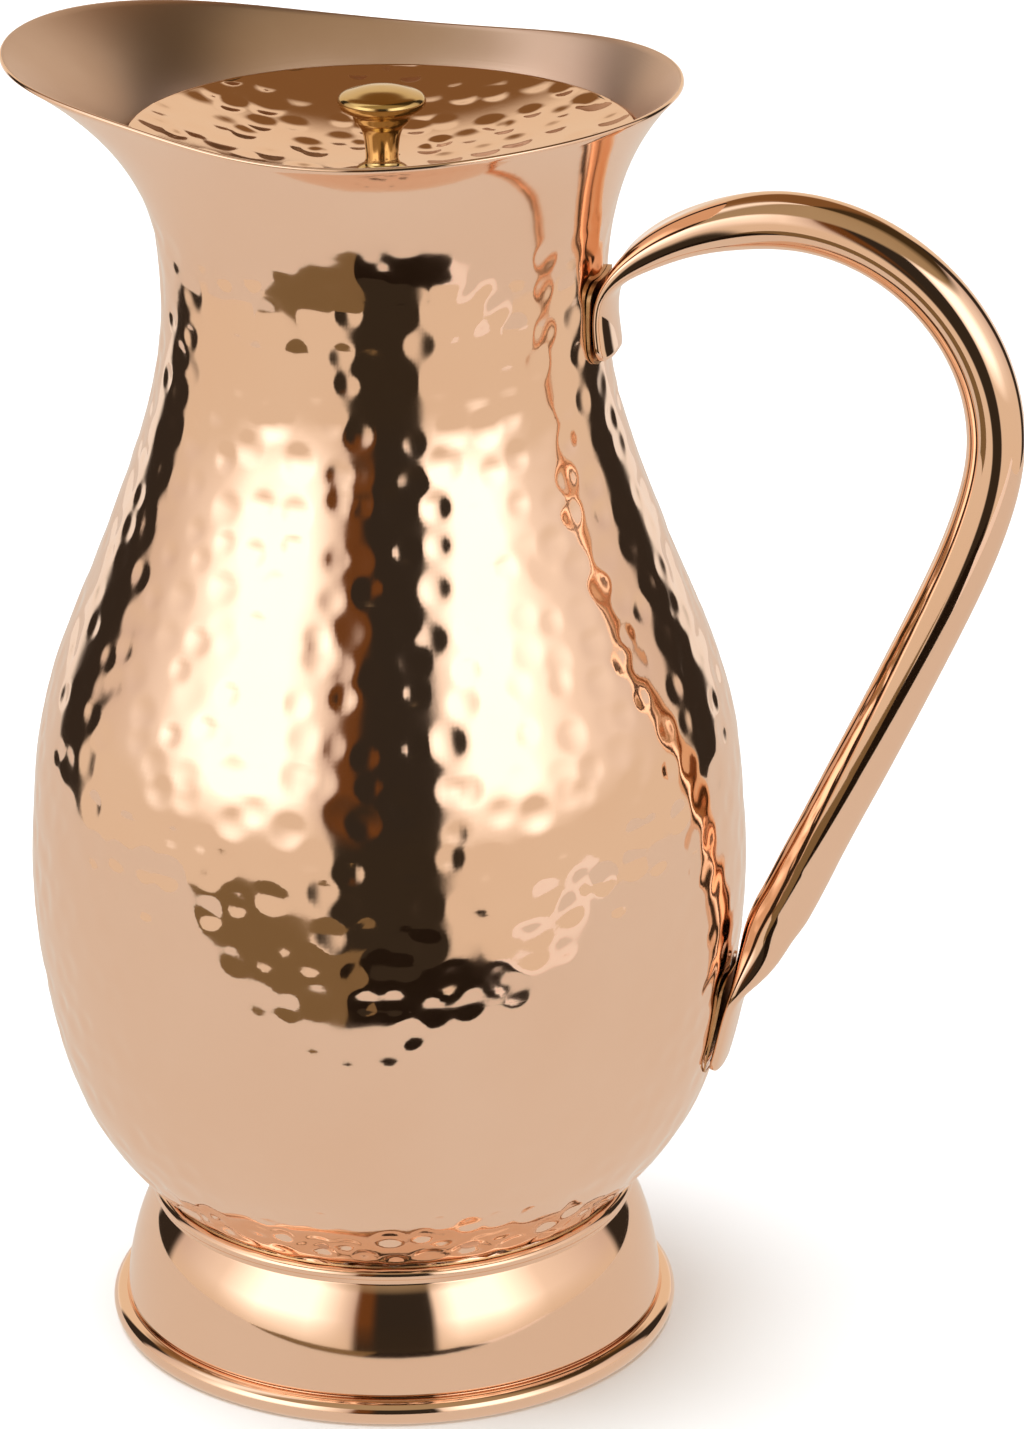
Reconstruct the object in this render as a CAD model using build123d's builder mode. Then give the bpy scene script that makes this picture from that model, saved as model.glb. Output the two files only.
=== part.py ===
"""Hammered copper water jug with a brass-knobbed drop-in lid, millimetres, +Z up.

The origin is on the jug's axis, on the table. The spout points along -X and the handle along +X.
Raised shells, foot, handle and brazing make up the jug; pan, knob, screw and washer make up the lid.
"""
import os
from math import cos, exp, hypot, radians, sin

from build123d import *

# Sheet and shells
SHEET = 1.0                  # wall of the shells, the foot and the handle tube
BELLY_RADIUS = 68.0          # widest outside radius
BELLY_HEIGHT = 91.0          # where the two shells meet, at the widest place
BASE_HEIGHT = 23.0           # underside of the bowl, inside the foot
NECK_RADIUS = 41.1
NECK_HEIGHT = 206.0

# Mouth and spout
LIP_START = 216.0            # the lip grows out of the round neck above this
FLARE_TOP = 256.0            # the untrimmed wall ends here, above the rim
SPOUT_REACH = 9.2            # how far the lip is drawn out beyond the round flare
SPOUT_HALF_ANGLE = 46.0      # degrees either side of -X
RIM_LOW = 242.4              # rim height at the sides
RIM_HANDLE = 245.4
RIM_SPOUT = 250.0

# Foot
FOOT_RADIUS = 55.0
BEAD_RADIUS = 2.4
BEAD_HEIGHT = 2.2            # the bead's centre; its underside is lapped flat at z = 0
COLLAR_RADIUS = 1.3

# Handle
TUBE_RADIUS = 5.3
TAB_WIDTH = 16.6             # the tube pressed flat
TAB_THICKNESS = 2.2
BRAZE_GAP = 0.3              # film of brazing metal between a tab and the wall
WALL_GROWTH = 1.0004         # a shell grown by this clears the brazing by a hair, about 0.02 mm

# Lid
LID_RADIUS = 46.4
LID_EDGE_HEIGHT = 236.6      # top of the pan at its edge
LID_DISH = 8.6               # how far the middle of the pan lies below its edge
LID_SHEET = 0.9
SCREW_RADIUS = 2.0
FIT = 0.05                   # radial clearance around the screw

os.makedirs("parts", exist_ok=True)


def flare_radius(height):
    """Outside radius of the round neck and flare above its narrowest place."""
    rise = (height - NECK_HEIGHT) / 44.0
    return NECK_RADIUS + 10.6 * rise**2 + 8.5 * rise**4


def mouth_outline(height, radius, slope, sheet):
    """Closed curve of the wall at one height, moved inwards by a sheet thickness.

    The lip is drawn out around -X by an amount that grows with the square of the height.
    """
    lift = max(height - LIP_START, 0.0) / (RIM_SPOUT - LIP_START)
    points = []
    for step in range(24):
        angle = step * 15.0 - 180.0
        reach = SPOUT_REACH * lift**2 * exp(-((angle / SPOUT_HALF_ANGLE) ** 4))
        out = radius + reach - sheet * hypot(1.0, slope)
        points.append((-out * cos(radians(angle)), out * sin(radians(angle))))
    return Spline(*points, periodic=True)


def band(points, inner, outer):
    """Closed outline between two copies of a wall line, each moved outwards along X."""
    inside = Spline(*[(radius + inner, height) for radius, height in points])
    outside = Spline(*[(radius + outer, height) for radius, height in points])
    Line(inside @ 0, outside @ 0)
    Line(inside @ 1, outside @ 1)


# ---- Lower shell: the bowl of the belly, with the jug's floor -------------------------------------
with BuildPart() as lower_shell:
    with BuildSketch(Plane.XZ):
        with BuildLine():
            bowl = Spline(
                (30.0, BASE_HEIGHT),
                (44.1, 28.0),
                (59.4, 47.0),
                (63.9, 60.0),
                (66.7, 75.0),
                (BELLY_RADIUS, BELLY_HEIGHT),
                tangents=((1, 0), (0, 1)),
            )
            Line(bowl @ 1, (0, BELLY_HEIGHT))
            Line((0, BELLY_HEIGHT), (0, BASE_HEIGHT))
            Line((0, BASE_HEIGHT), bowl @ 0)
        make_face()
    revolve(axis=Axis.Z)
    offset(amount=-SHEET, openings=lower_shell.faces().sort_by(Axis.Z)[-1])
lower_shell.part.label = "lower_shell"
export_step(lower_shell.part, "parts/lower_shell.step")

# ---- Upper shell: shoulder, neck, flare and lip lofted in one, rim cut to its side view ------------
SHOULDER = [
    (BELLY_RADIUS, BELLY_HEIGHT),
    (67.6, 105.0),
    (66.1, 120.0),
    (62.2, 135.0),
    (56.2, 150.0),
    (50.4, 165.0),
    (45.2, 180.0),
    (42.0, 194.0),
]
FLARE = [NECK_HEIGHT, 213.0, 220.0, 227.0, 234.0, 241.0, 248.0, FLARE_TOP]
WALL = SHOULDER + [(flare_radius(height), height) for height in FLARE]

with BuildPart() as upper_shell:
    for sheet, mode in ((0.0, Mode.ADD), (SHEET, Mode.SUBTRACT)):
        for index, (radius, height) in enumerate(WALL):
            below = WALL[max(index - 1, 0)]
            above = WALL[min(index + 1, len(WALL) - 1)]
            slope = (above[0] - below[0]) / (above[1] - below[1])
            with BuildSketch(Plane.XY.offset(height)):
                with BuildLine():
                    mouth_outline(height, radius, slope, sheet)
                make_face()
        loft(mode=mode)
    with BuildSketch(Plane.XZ):
        with BuildLine():
            rim = Spline(
                (-90.0, RIM_SPOUT + 1.6),
                (-69.0, RIM_SPOUT),
                (-30.0, 245.0),
                (0.0, RIM_LOW),
                (30.0, 244.1),
                (60.0, RIM_HANDLE),
                (90.0, RIM_HANDLE),
            )
            Polyline(rim @ 1, (90.0, 270.0), (-90.0, 270.0), rim @ 0)
        make_face()
    extrude(amount=100.0, both=True, mode=Mode.SUBTRACT)
upper_shell.part.label = "upper_shell"
export_step(upper_shell.part, "parts/upper_shell.step")


# ---- Foot ring: one spun sheet with a hemmed collar above and a rolled bead below -----------------
COLLAR_CENTRE = (45.6, 27.2)
BEAD_CENTRE = (FOOT_RADIUS - BEAD_RADIUS, BEAD_HEIGHT)

with BuildPart() as foot_ring:
    with BuildSketch(Plane.XZ):
        with BuildLine():
            bulge = ThreePointArc((46.3, 26.3), (50.4, 16.5), (51.9, 6.6))
            tuck = Line((51.9, 6.6), (50.8, 3.6))
            throat = Line(tuck @ 1, (49.8, 3.6))
            back = Line(throat @ 1, (50.9, 6.8))
            hollow = ThreePointArc(back @ 1, (49.4, 16.2), (45.4, 25.8))
            Line(hollow @ 1, bulge @ 0)
        make_face()
        with Locations(COLLAR_CENTRE):
            Circle(COLLAR_RADIUS)
        with Locations(BEAD_CENTRE):
            Circle(BEAD_RADIUS)
            Circle(BEAD_RADIUS - SHEET, mode=Mode.SUBTRACT)
        with Locations((FOOT_RADIUS, -5.0)):
            Rectangle(20.0, 10.0, mode=Mode.SUBTRACT)
    revolve(axis=Axis.Z)
foot_ring.part.label = "foot_ring"
export_step(foot_ring.part, "parts/foot_ring.step")

# ---- Foot brazing: the fillet that holds the bowl in the collar ------------------------------------
with BuildPart() as foot_braze:
    with BuildSketch(Plane.XZ):
        with BuildLine():
            Polyline((44.8, 28.6), (42.4, 27.5), (44.2, 25.4), (45.6, 27.0), close=True)
        make_face()
    revolve(axis=Axis.Z)
    scale(lower_shell.part, by=WALL_GROWTH, mode=Mode.SUBTRACT)
    add(foot_ring.part, mode=Mode.SUBTRACT)
foot_braze.part.label = "foot_braze"
export_step(foot_braze.part, "parts/foot_braze.step")

# ---- Handle: a bent tube, pressed flat at both ends and dressed to the wall ------------------------
NECK_WALL = [(41.92, 194.0), (NECK_RADIUS, NECK_HEIGHT), (42.1, 216.0)]
BELLY_WALL = [(60.9, 51.0), (65.0, 66.0), (67.5, 83.0)]
HANDLE_PATH = [
    (57.0, 220.4),
    (74.6, 223.9),
    (91.0, 220.1),
    (103.8, 210.5),
    (111.7, 197.6),
    (114.1, 183.5),
    (111.9, 170.8),
    (103.6, 149.1),
    (90.2, 119.8),
    (80.8, 99.6),
    (75.7, 88.6),
]
UPPER_BEND = (49.4, 215.9)
UPPER_TAB_TOP = (43.2, 209.6)
LOWER_BEND = (72.1, 81.6)
LOWER_TAB_TOP = (68.0, 75.2)
UPPER_TAB = (196.8, 211.4)   # bottom and top
LOWER_TAB = (57.8, 77.2)


def section_plane(point, direction):
    """Plane across the handle, with its X axis level and its Z axis along the handle."""
    return Plane(origin=(point[0], 0, point[1]), x_dir=(0, 1, 0), z_dir=(direction[0], 0, direction[1]))


def flattened_end(round_plane, bend_plane, flat_plane):
    """Loft from the round tube through the bend to the flat tab."""
    with BuildPart(mode=Mode.PRIVATE) as pressed:
        for plane, wide, thick in (
            (round_plane, TUBE_RADIUS, TUBE_RADIUS),
            (bend_plane, 0.82 * TAB_WIDTH / 2, 0.62 * TUBE_RADIUS),
            (flat_plane, 0.98 * TAB_WIDTH / 2, 0.5 * TAB_THICKNESS),
        ):
            with BuildSketch(plane):
                Ellipse(wide, thick)
        loft()
    return pressed.part


def tab(wall, span):
    """Tab that hugs the wall: a turned band cut to a rounded outline seen along X."""
    middle = (span[0] + span[1]) / 2
    with BuildPart(mode=Mode.PRIVATE) as turned:
        with BuildSketch(Plane.XZ):
            with BuildLine():
                band(wall, BRAZE_GAP, BRAZE_GAP + TAB_THICKNESS)
            make_face()
        revolve(axis=Axis.Z)
    with BuildPart(mode=Mode.PRIVATE) as outline:
        with BuildSketch(Plane.YZ):
            with Locations((0, middle)):
                RectangleRounded(TAB_WIDTH, span[1] - span[0], 3.2)
        extrude(amount=100.0)
    return turned.part & outline.part


with BuildLine(Plane.XZ) as handle_route:
    Spline(*HANDLE_PATH)
route = handle_route.line
start = section_plane(HANDLE_PATH[0], ((route % 0).X, (route % 0).Z))
end = section_plane(HANDLE_PATH[-1], ((route % 1).X, (route % 1).Z))
upper_bend = section_plane(UPPER_BEND, (-0.72, -0.69))
lower_bend = section_plane(LOWER_BEND, (-0.42, -0.91))
upper_flat = section_plane(UPPER_TAB_TOP, (-0.30, -0.95))
lower_flat = section_plane(LOWER_TAB_TOP, (-0.30, -0.95))
start_flat = section_plane(HANDLE_PATH[0], (-(route % 0).X, -(route % 0).Z))

with BuildPart() as handle:
    with BuildSketch(start):
        Circle(TUBE_RADIUS)
    sweep(path=route)
    add(flattened_end(start_flat, upper_bend, upper_flat))
    add(flattened_end(end, lower_bend, lower_flat))
    add(tab(NECK_WALL, UPPER_TAB))
    add(tab(BELLY_WALL, LOWER_TAB))
    scale(upper_shell.part, by=WALL_GROWTH, mode=Mode.SUBTRACT)
    scale(lower_shell.part, by=WALL_GROWTH, mode=Mode.SUBTRACT)
    with BuildSketch(start):
        Circle(TUBE_RADIUS - SHEET)
    sweep(path=route, mode=Mode.SUBTRACT)
handle.part.label = "handle"
export_step(handle.part, "parts/handle.step")

# ---- Handle brazing: the film of metal under each tab, with a small fillet around it ---------------


def braze_film(wall, span):
    """Filler between a tab and the wall, reaching a little past the tab's outline."""
    middle = (span[0] + span[1]) / 2
    with BuildPart(mode=Mode.PRIVATE) as film:
        with BuildSketch(Plane.XZ):
            with BuildLine():
                band(wall, -0.4, BRAZE_GAP + 0.3)
            make_face()
        revolve(axis=Axis.Z)
    with BuildPart(mode=Mode.PRIVATE) as outline:
        with BuildSketch(Plane.YZ):
            with Locations((0, middle)):
                RectangleRounded(TAB_WIDTH + 1.0, span[1] - span[0] + 1.0, 3.6)
        extrude(amount=100.0)
    return film.part & outline.part


with BuildPart() as upper_braze:
    add(braze_film(NECK_WALL, UPPER_TAB))
    scale(upper_shell.part, by=WALL_GROWTH, mode=Mode.SUBTRACT)
    add(handle.part, mode=Mode.SUBTRACT)
upper_braze.part.label = "upper_handle_braze"
export_step(upper_braze.part, "parts/upper_handle_braze.step")

with BuildPart() as lower_braze:
    add(braze_film(BELLY_WALL, LOWER_TAB))
    scale(lower_shell.part, by=WALL_GROWTH, mode=Mode.SUBTRACT)
    add(handle.part, mode=Mode.SUBTRACT)
lower_braze.part.label = "lower_handle_braze"
export_step(lower_braze.part, "parts/lower_handle_braze.step")

# ---- Lid pan: a shallow dish with a rounded edge and a hole for the screw --------------------------
LID_FLOOR = LID_EDGE_HEIGHT - LID_DISH
HALF_EDGE = LID_RADIUS / 2
SEAT_RADIUS = 5.2            # flat middle that the knob and the washer clamp

with BuildPart() as lid_pan:
    with BuildSketch(Plane.XZ):
        with BuildLine():
            seat = Line((SCREW_RADIUS + FIT, LID_FLOOR), (SEAT_RADIUS, LID_FLOOR))
            top = Spline(
                seat @ 1,
                (HALF_EDGE, LID_FLOOR + 0.26 * LID_DISH),
                (LID_RADIUS - 0.5 * LID_SHEET, LID_EDGE_HEIGHT),
                tangents=((1, 0), (1, 0.36)),
            )
            lip = ThreePointArc(
                top @ 1,
                (LID_RADIUS, LID_EDGE_HEIGHT - 0.45 * LID_SHEET),
                (LID_RADIUS - 0.2 * LID_SHEET, LID_EDGE_HEIGHT - LID_SHEET),
            )
            underside = Spline(
                lip @ 1,
                (HALF_EDGE, LID_FLOOR + 0.26 * LID_DISH - LID_SHEET),
                (SEAT_RADIUS, LID_FLOOR - LID_SHEET),
                tangents=((-1, -0.36), (-1, 0)),
            )
            Polyline(underside @ 1, (SCREW_RADIUS + FIT, LID_FLOOR - LID_SHEET), seat @ 0)
        make_face()
    revolve(axis=Axis.Z)
lid_pan.part.label = "lid_pan"
export_step(lid_pan.part, "parts/lid_pan.step")

# ---- Knob: turned brass, drilled up its axis for the screw ----------------------------------------
KNOB_TOP = 244.4
KNOB_RADIUS = 8.1

with BuildPart() as knob:
    with BuildSketch(Plane.XZ):
        with BuildLine():
            crown = ThreePointArc((0, KNOB_TOP), (4.4, KNOB_TOP - 0.5), (KNOB_RADIUS - 0.9, KNOB_TOP - 1.7))
            brim = ThreePointArc(crown @ 1, (KNOB_RADIUS, KNOB_TOP - 3.0), (KNOB_RADIUS - 1.1, KNOB_TOP - 4.5))
            step = ThreePointArc(brim @ 1, (6.0, KNOB_TOP - 5.1), (5.3, KNOB_TOP - 6.1))
            stem = Spline(
                step @ 1,
                (3.6, KNOB_TOP - 9.2),
                (3.0, KNOB_TOP - 12.2),
                (3.3, LID_FLOOR + 2.2),
                (4.8, LID_FLOOR + 1.0),
                tangents=((-0.6, -1), (1, -0.4)),
            )
            Polyline(stem @ 1, (4.8, LID_FLOOR), (0, LID_FLOOR), (0, KNOB_TOP))
        make_face()
    revolve(axis=Axis.Z)
    with BuildSketch(Plane.XY.offset(LID_FLOOR)):
        Circle(SCREW_RADIUS + FIT)
    extrude(amount=9.0, mode=Mode.SUBTRACT)
knob.part.label = "lid_knob"
export_step(knob.part, "parts/lid_knob.step")

# ---- Washer under the pan -------------------------------------------------------------------------
WASHER_THICKNESS = 0.8
WASHER_TOP = LID_FLOOR - LID_SHEET

with BuildPart() as washer:
    with BuildSketch(Plane.XY.offset(WASHER_TOP)):
        Circle(4.5)
        Circle(SCREW_RADIUS + FIT, mode=Mode.SUBTRACT)
    extrude(amount=-WASHER_THICKNESS)
washer.part.label = "knob_washer"
export_step(washer.part, "parts/knob_washer.step")

# ---- Screw: up through the washer and the pan into the knob, with a crossed recess ----------------
HEAD_TOP = WASHER_TOP - WASHER_THICKNESS
HEAD_HEIGHT = 2.2

with BuildPart() as screw:
    with BuildSketch(Plane.XY.offset(HEAD_TOP)):
        Circle(SCREW_RADIUS)
    extrude(amount=WASHER_THICKNESS + LID_SHEET + 8.0)
    with BuildSketch(Plane.XY.offset(HEAD_TOP)):
        Circle(3.8)
    extrude(amount=-HEAD_HEIGHT)
    fillet(screw.edges().sort_by(Axis.Z)[0], 1.2)
    with BuildSketch(Plane.XY.offset(HEAD_TOP - HEAD_HEIGHT)):
        Rectangle(3.6, 0.8)
        Rectangle(0.8, 3.6)
    extrude(amount=1.2, mode=Mode.SUBTRACT)
screw.part.label = "knob_screw"
export_step(screw.part, "parts/knob_screw.step")
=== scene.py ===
import math

import bpy
import numpy as np
from mathutils import Matrix


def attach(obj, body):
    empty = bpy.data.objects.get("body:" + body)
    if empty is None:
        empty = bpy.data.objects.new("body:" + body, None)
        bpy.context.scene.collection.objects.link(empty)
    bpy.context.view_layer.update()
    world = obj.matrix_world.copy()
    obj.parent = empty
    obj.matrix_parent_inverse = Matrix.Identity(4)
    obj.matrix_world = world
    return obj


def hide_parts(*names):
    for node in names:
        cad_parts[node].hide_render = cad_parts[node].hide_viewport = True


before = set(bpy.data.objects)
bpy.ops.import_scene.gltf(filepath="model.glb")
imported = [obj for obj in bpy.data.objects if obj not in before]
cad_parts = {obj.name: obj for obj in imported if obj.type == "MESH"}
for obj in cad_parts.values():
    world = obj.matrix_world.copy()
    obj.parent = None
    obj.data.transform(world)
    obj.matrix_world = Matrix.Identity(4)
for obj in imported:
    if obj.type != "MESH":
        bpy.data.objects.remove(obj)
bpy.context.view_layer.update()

# ---- Camera --------------------------------------------------------------------------------------
# A long lens a metre away, a little above the jug and 15 degrees round from its side, towards the
# handle, so that the handle comes forward and the lip goes back.
CAMERA_AZIMUTH = math.radians(15.0)
CAMERA_DISTANCE = 0.999
CAMERA_HEIGHT = 0.5056
CAMERA_PITCH = math.radians(21.0)
CAMERA_PAN = math.radians(1.34)
CAMERA_ROLL = math.radians(0.16)
SENSOR_WIDTH = 36.0
LENS = 142.6

camera_data = bpy.data.cameras.new("camera")
camera_data.sensor_width = SENSOR_WIDTH
camera_data.lens = LENS
camera = bpy.data.objects.new("camera", camera_data)
turn = Matrix.Rotation(CAMERA_AZIMUTH - CAMERA_PAN, 3, "Z")
tilt = Matrix.Rotation(math.radians(90.0) - CAMERA_PITCH, 3, "X")
roll = Matrix.Rotation(-CAMERA_ROLL, 3, "Z")
place = Matrix.Translation(
    (
        CAMERA_DISTANCE * math.sin(CAMERA_AZIMUTH),
        -CAMERA_DISTANCE * math.cos(CAMERA_AZIMUTH),
        CAMERA_HEIGHT,
    )
)
camera.matrix_world = place @ (turn @ tilt @ roll).to_4x4()
bpy.context.collection.objects.link(camera)
bpy.context.scene.camera = camera
bpy.context.scene.view_settings.view_transform = "Standard"

# ---- Room light ----------------------------------------------------------------------------------
# A product table between two big softboxes that are brightest in the middle. The camera side is an
# unlit gap, a dark edge stands each side of the backdrop, and the ceiling is dim towards the front.


def linear(code):
    """A hex sRGB colour as linear RGBA: each channel through the sRGB curve."""
    channels = np.array([int(code[i : i + 2], 16) for i in (1, 3, 5)]) / 255.0
    curve = np.where(channels <= 0.04045, channels / 12.92, ((channels + 0.055) / 1.055) ** 2.4)
    return (*curve.tolist(), 1.0)


def add(tree, kind, sockets=None, stops=(), **settings):
    """Adds a node. Sockets are values, nodes (their first output) or (node, output name) pairs, and
    stops are a ramp's (position, RGBA) pairs."""
    made = tree.nodes.new("ShaderNode" + kind)
    for name, value in settings.items():
        setattr(made, name, value)
    for name, value in (sockets or {}).items():
        if isinstance(value, bpy.types.Node):
            tree.links.new(value.outputs[0], made.inputs[name])
        elif isinstance(value, tuple) and isinstance(value[0], bpy.types.Node):
            tree.links.new(value[0].outputs[value[1]], made.inputs[name])
        else:
            made.inputs[name].default_value = value
    while stops and len(made.color_ramp.elements) < len(stops):
        made.color_ramp.elements.new(0.5)
    for number, (position, colour) in enumerate(stops):
        made.color_ramp.elements[number].position = position
        made.color_ramp.elements[number].color = colour
    return made


GAP = linear("#221e19")
GAP_LEFT = linear("#4c2f16")
SOFTBOX = linear("#f4f2ee")
SOFTBOX_SIDE = linear("#b9b1a8")
SIDE = linear("#9c9088")
EDGE = linear("#231e19")
BACKDROP = linear("#ab9d8a")
NEAR_FLOOR = linear("#a69a8b")
FLOOR_GAP = linear("#241f18")
FAR_FLOOR = linear("#b4b0aa")
ROOM_STRENGTH = 2.1
LAMP_SIZE = 3.0
LAMP_WATTS = 128.0
LAMP_COLOUR = (0.84, 0.92, 1.0)
LAMP_PLACE = (-0.5, 0.2, 2.5)

room = bpy.data.worlds.new("room")
room.use_nodes = True
light = room.node_tree
light.nodes.clear()
sight = add(light, "TexCoord")
to_camera = add(
    light,
    "VectorRotate",
    {"Vector": (sight, "Generated"), "Angle": -CAMERA_AZIMUTH},
    rotation_type="Z_AXIS",
)
parts_of_sight = add(light, "SeparateXYZ", {"Vector": to_camera})
towards = add(light, "Math", {0: (parts_of_sight, "Y"), 1: -1.0}, operation="MULTIPLY")
bearing = add(light, "Math", {0: (parts_of_sight, "X"), 1: towards}, operation="ARCTAN2")
height_angle = add(light, "Math", {0: (parts_of_sight, "Z")}, operation="ARCSINE")
bearing_degrees = add(light, "Math", {0: bearing, 1: math.degrees(1.0)}, operation="MULTIPLY")
height_degrees = add(light, "Math", {0: height_angle, 1: math.degrees(1.0)}, operation="MULTIPLY")
BLACK, WHITE = linear("#000000"), linear("#ffffff")
HALF_TURN, QUARTER_TURN = 180.0, 90.0
# What stands round the table: (degrees, colour) pairs along each band. The first three go round
# from the camera's side, and the last two go up from the horizon and say which of them is seen.
bands = {}
for name, angle_in_degrees, half_range, stops in (
    (
        "walls",
        bearing_degrees,
        HALF_TURN,
        [
            (-180.0, BACKDROP),
            (-140.0, BACKDROP),
            (-136.0, EDGE),
            (-117.0, EDGE),
            (-113.0, SIDE),
            (-84.0, SOFTBOX_SIDE),
            (-62.0, SOFTBOX),
            (-38.0, SOFTBOX),
            (-24.0, SOFTBOX_SIDE),
            (-18.5, SIDE),
            (-16.5, GAP_LEFT),
            (-11.0, GAP_LEFT),
            (-8.0, GAP),
            (16.0, GAP),
            (18.0, SOFTBOX_SIDE),
            (28.0, SOFTBOX),
            (48.0, SOFTBOX),
            (70.0, SOFTBOX_SIDE),
            (113.0, SIDE),
            (117.0, EDGE),
            (136.0, EDGE),
            (140.0, BACKDROP),
            (180.0, BACKDROP),
        ],
    ),
    (
        "below",
        bearing_degrees,
        HALF_TURN,
        [
            (-180.0, FAR_FLOOR),
            (-140.0, FAR_FLOOR),
            (-136.0, EDGE),
            (-117.0, EDGE),
            (-113.0, NEAR_FLOOR),
            (-20.0, NEAR_FLOOR),
            (-16.5, FLOOR_GAP),
            (16.0, FLOOR_GAP),
            (19.0, NEAR_FLOOR),
            (113.0, NEAR_FLOOR),
            (117.0, EDGE),
            (136.0, EDGE),
            (140.0, FAR_FLOOR),
            (180.0, FAR_FLOOR),
        ],
    ),
    (
        "ceiling",
        bearing_degrees,
        HALF_TURN,
        [
            (-180.0, linear("#5c4227")),
            (-150.0, linear("#5c4227")),
            (-125.0, linear("#6a5238")),
            (-100.0, linear("#c4c0ba")),
            (-85.0, linear("#c8c4be")),
            (-62.0, linear("#7a6d58")),
            (-15.0, linear("#7f735c")),
            (60.0, linear("#786a52")),
            (95.0, linear("#2e2415")),
            (135.0, linear("#2e2415")),
            (150.0, linear("#5c4227")),
            (180.0, linear("#5c4227")),
        ],
    ),
    (
        "above_floor",
        height_degrees,
        QUARTER_TURN,
        [
            (-90.0, BLACK),
            (-3.0, BLACK),
            (11.0, WHITE),
            (90.0, WHITE),
        ],
    ),
    (
        "above_walls",
        height_degrees,
        QUARTER_TURN,
        [
            (-90.0, BLACK),
            (34.0, BLACK),
            (40.0, WHITE),
            (90.0, WHITE),
        ],
    ),
):
    whole = 2.0 * half_range
    limits = {"From Min": -half_range, "From Max": half_range}
    share = add(light, "MapRange", {"Value": angle_in_degrees, **limits})
    placed = [((degrees + half_range) / whole, colour) for degrees, colour in stops]
    bands[name] = add(light, "ValToRGB", {"Fac": share}, placed)
standing = add(
    light, "Mix", {0: bands["above_floor"], 6: bands["below"], 7: bands["walls"]}, data_type="RGBA"
)
whole_room = add(
    light, "Mix", {0: bands["above_walls"], 6: (standing, 2), 7: bands["ceiling"]}, data_type="RGBA"
)
glow = add(light, "Background", {"Color": (whole_room, 2), "Strength": ROOM_STRENGTH})
add(light, "OutputWorld", {"Surface": glow})
bpy.context.scene.world = room

# A broad lamp overhead lights the paper, and polished metal doesn't mirror it.
overhead_data = bpy.data.lights.new("overhead", "AREA")
overhead_data.size = LAMP_SIZE
overhead_data.energy = LAMP_WATTS
overhead_data.color = LAMP_COLOUR
overhead = bpy.data.objects.new("overhead", overhead_data)
overhead.location = LAMP_PLACE
overhead.visible_glossy = False
bpy.context.collection.objects.link(overhead)

# ---- Table and floor -----------------------------------------------------------------------------
# White seamless paper under and behind the jug. The copper mirrors the table's own top, whose front
# edge lies a little before the jug, and a dark cloth, a brown board and a pale card before that.
TABLE_FRONT = 0.228
TABLE_SIDE = 0.5
TABLE_BACK = 1.4
CLOTH_FRONT = 0.36
CLOTH_LEFT = 0.05
CLOTH_RIGHT = 0.17
BOARD_FRONT = 0.42
BOARD_LEFT = 0.42
CARD_FRONT = 0.3
CARD_RIGHT = 0.55
FLOOR_HALF = 12.0
TABLE_GLOW = 0.4             # the lamp's light on it, which reflections would leave out
CARD_GLOW = 0.55
BOARD_GLOW = 0.8


def paper(name, tone, glow_tone, glow_strength):
    """Matt paper, cloth or board of one colour, with the lamp's light on it as a glow."""
    made = bpy.data.materials.new(name)
    made.use_nodes = True
    shader = made.node_tree.nodes["Principled BSDF"]
    shader.inputs["Base Color"].default_value = linear(tone)
    shader.inputs["Roughness"].default_value = 0.9
    shader.inputs["Specular IOR Level"].default_value = 0.0
    shader.inputs["Emission Color"].default_value = linear(glow_tone)
    shader.inputs["Emission Strength"].default_value = glow_strength
    return made


def sheet_of_paper(name, near, far, left, right, material):
    """A level oblong sheet on the floor plane, square to the camera and not part of the jug."""
    c, s = math.cos(CAMERA_AZIMUTH), math.sin(CAMERA_AZIMUTH)
    outline = ((-left, -near), (right, -near), (right, far), (-left, far))
    corners = [(x * c - y * s, x * s + y * c, 0.0) for x, y in outline]
    mesh = bpy.data.meshes.new(name)
    mesh.from_pydata(corners, [], [range(len(corners))])
    mesh.materials.append(material)
    made = bpy.data.objects.new(name, mesh)
    bpy.context.collection.objects.link(made)
    return made


# Seamless paper: matt and white, so it shows only soft shadow.
white_paper = paper("seamless_paper", "#f2f2f1", "#ffffff", 0.0)
floor = sheet_of_paper("floor", FLOOR_HALF, FLOOR_HALF, FLOOR_HALF, FLOOR_HALF, white_paper)
floor.visible_glossy = False
# The other sheets are matt too, and nothing but the copper sees them.
for name, tone, glow_tone, strength, near, far, left, right in (
    ("table_top", "#cbc6c1", "#fff8f2", TABLE_GLOW, TABLE_FRONT, TABLE_BACK, TABLE_SIDE, TABLE_SIDE),
    ("dark_cloth", "#2e2721", "#000000", 0.0, CLOTH_FRONT, -TABLE_FRONT, CLOTH_LEFT, CLOTH_RIGHT),
    ("brown_board", "#4c402e", "#7e6a4a", BOARD_GLOW, BOARD_FRONT, -TABLE_FRONT, BOARD_LEFT, -CLOTH_LEFT),
    ("pale_card", "#dedad8", "#fff8f8", CARD_GLOW, CARD_FRONT, -TABLE_FRONT, -CLOTH_RIGHT, CARD_RIGHT),
):
    finish = paper("matt_" + name, tone, glow_tone, strength)
    mirrored = sheet_of_paper(name, near, far, left, right, finish)
    mirrored.visible_camera = False
    mirrored.visible_diffuse = False
    mirrored.visible_shadow = False

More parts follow.
